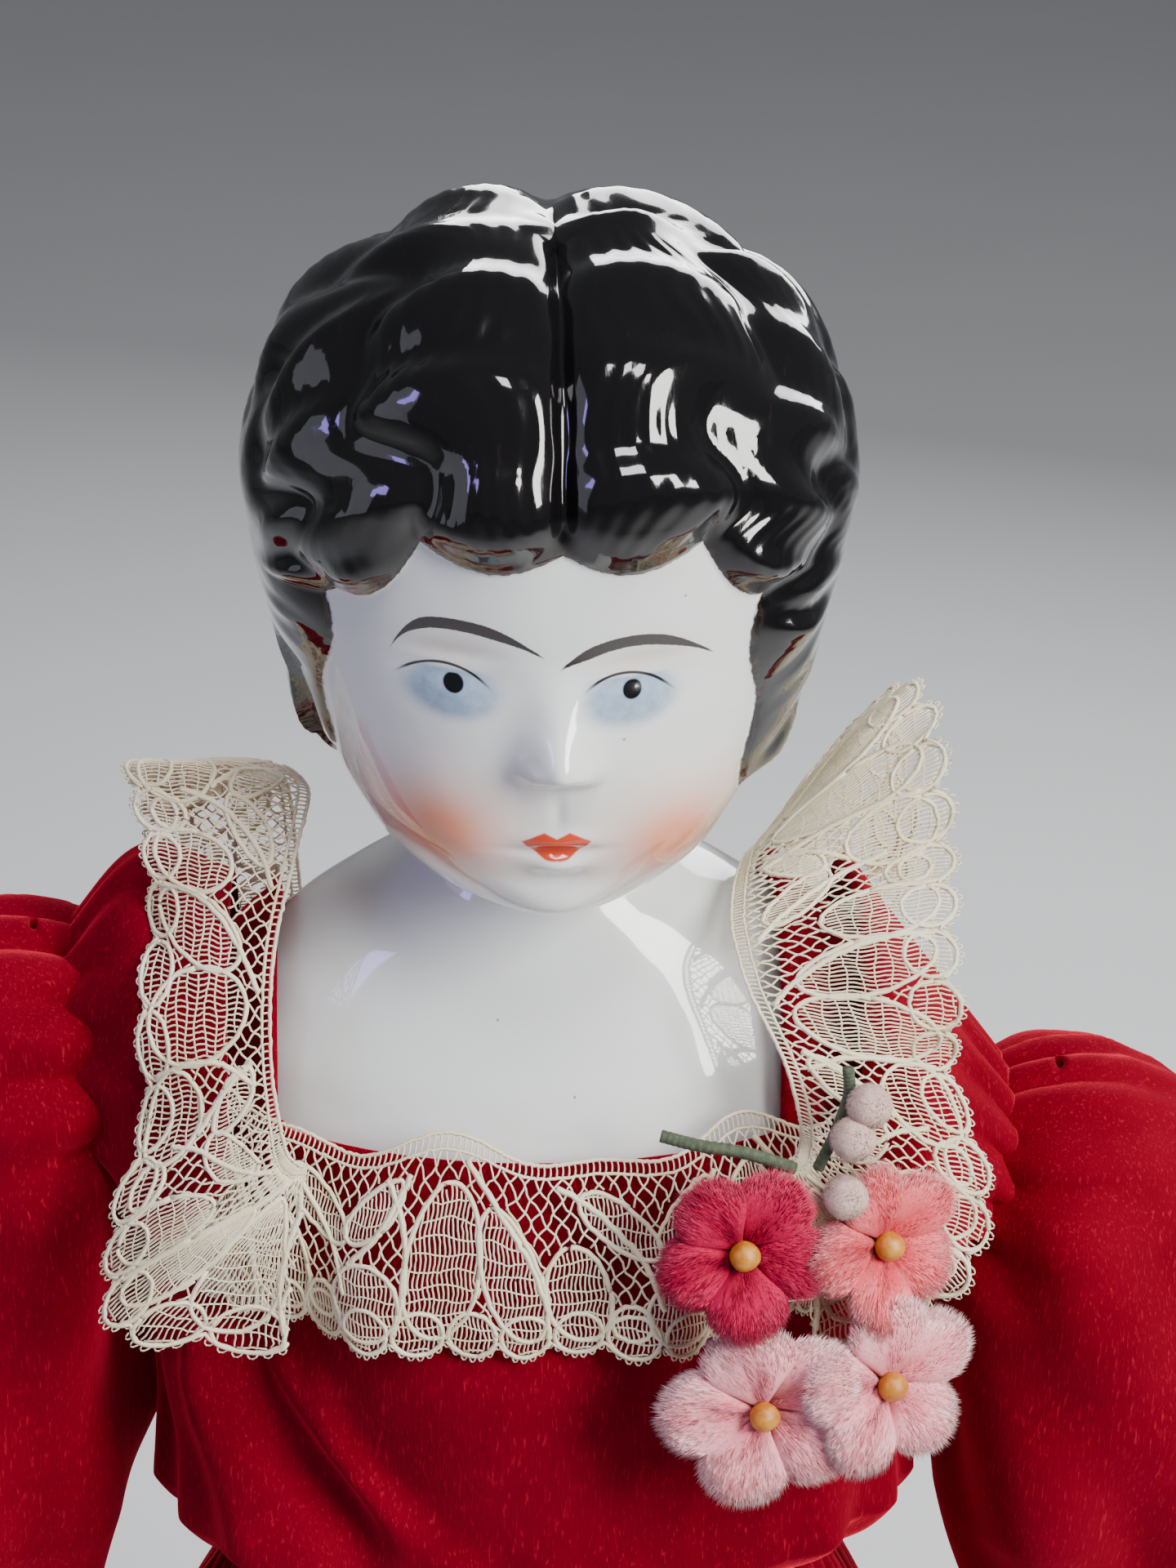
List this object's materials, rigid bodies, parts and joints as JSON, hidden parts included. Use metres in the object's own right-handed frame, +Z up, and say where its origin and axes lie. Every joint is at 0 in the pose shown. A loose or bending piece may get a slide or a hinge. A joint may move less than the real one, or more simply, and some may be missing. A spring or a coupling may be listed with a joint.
{
  "type": "porcelain doll",
  "caption": "Glazed china shoulder-head doll with painted hair and face, stuffed body, china limbs, red velvet dress, lace collar and flower corsage.",
  "frame": {"origin": "on the floor, under the middle of the standing doll", "axes": "+Z up through the head, the face looks towards -Y, the doll's own left is +X"},
  "size_m": [0.2114, 0.1976, 0.48],
  "materials": {
    "china": "white glazed china, the hair and boots painted gloss black, blushed cheeks, painted eyes, brows and mouth",
    "muslin": "unbleached plain-woven muslin with hand-sewn seams",
    "stuffing": "packed cotton and sawdust filling",
    "thread": "waxed linen sewing thread",
    "velvet": "deep red cotton velvet, short soft pile with a fine upright rib",
    "cotton": "white cotton lawn with tucks and a stitched hem",
    "lace": "cream cotton bobbin-style lace edging, net ground, outlined scallops",
    "petal_rose": "brushed silk velvet petals in dark rose",
    "petal_coral": "brushed silk velvet petals in coral",
    "petal_pink": "brushed silk velvet petals in pale pink",
    "stamen": "waxed yellow-orange stamen bead",
    "bud": "flocked pinkish-grey bud",
    "stem": "wire wrapped in dark green floral tape",
    "steel": "plated steel wire"
  },
  "bodies": {
    "torso": {"shoulder_head": "china", "torso_casing": "muslin", "torso_stuffing": "stuffing", "sewing_thread_front_right": "thread", "sewing_thread_front_left": "thread", "sewing_thread_back_right": "thread", "sewing_thread_back_left": "thread", "bodice": "velvet", "back_hook_1": "steel", "back_hook_2": "steel", "back_hook_3": "steel", "waistband": "velvet", "skirt": "velvet", "petticoat": "cotton", "lace_front": "lace", "lace_back": "lace", "lace_right": "lace", "lace_left": "lace", "flower_rose": "petal_rose", "flower_coral": "petal_coral", "flower_pink_low": "petal_pink", "flower_pink_side": "petal_pink", "stamen_rose": "stamen", "stamen_coral": "stamen", "stamen_pink_low": "stamen", "stamen_pink_side": "stamen", "bud_1": "bud", "bud_2": "bud", "bud_3": "bud", "stem_across": "stem", "stem_up": "stem", "corsage_pin": "steel"},
    "arm_left": {"upper_arm_left": "muslin", "forearm_left": "china", "arm_tie_left": "thread", "sleeve_left": "velvet", "sleeve_cap_left": "velvet", "cuff_left": "velvet", "cuff_lace_left": "lace"},
    "arm_right": {"upper_arm_right": "muslin", "forearm_right": "china", "arm_tie_right": "thread", "sleeve_right": "velvet", "sleeve_cap_right": "velvet", "cuff_right": "velvet", "cuff_lace_right": "lace"},
    "leg_left": {"thigh_left": "muslin", "lower_leg_left": "china", "leg_tie_left": "thread", "drawers_left": "cotton"},
    "leg_right": {"thigh_right": "muslin", "lower_leg_right": "china", "leg_tie_right": "thread", "drawers_right": "cotton"}
  },
  "joints": [
    {"name": "shoulder_left", "type": "hinge", "parent": "torso", "child": "arm_left", "pos_m": [0.06, 0, 0.362], "axis": [-1, 0, 0], "range_deg": [-45, 150]},
    {"name": "shoulder_right", "type": "hinge", "parent": "torso", "child": "arm_right", "pos_m": [-0.06, 0, 0.362], "axis": [-1, 0, 0], "range_deg": [-45, 150]},
    {"name": "hip_left", "type": "hinge", "parent": "torso", "child": "leg_left", "pos_m": [0.021, 0, 0.235], "axis": [-1, 0, 0], "range_deg": [-15, 90], "deforming": ["skirt", "petticoat"]},
    {"name": "hip_right", "type": "hinge", "parent": "torso", "child": "leg_right", "pos_m": [-0.021, 0, 0.235], "axis": [-1, 0, 0], "range_deg": [-15, 90]}
  ],
  "couplings": [
    {"joint": "hip_right", "follows": "hip_left", "ratio": 1}
  ]
}
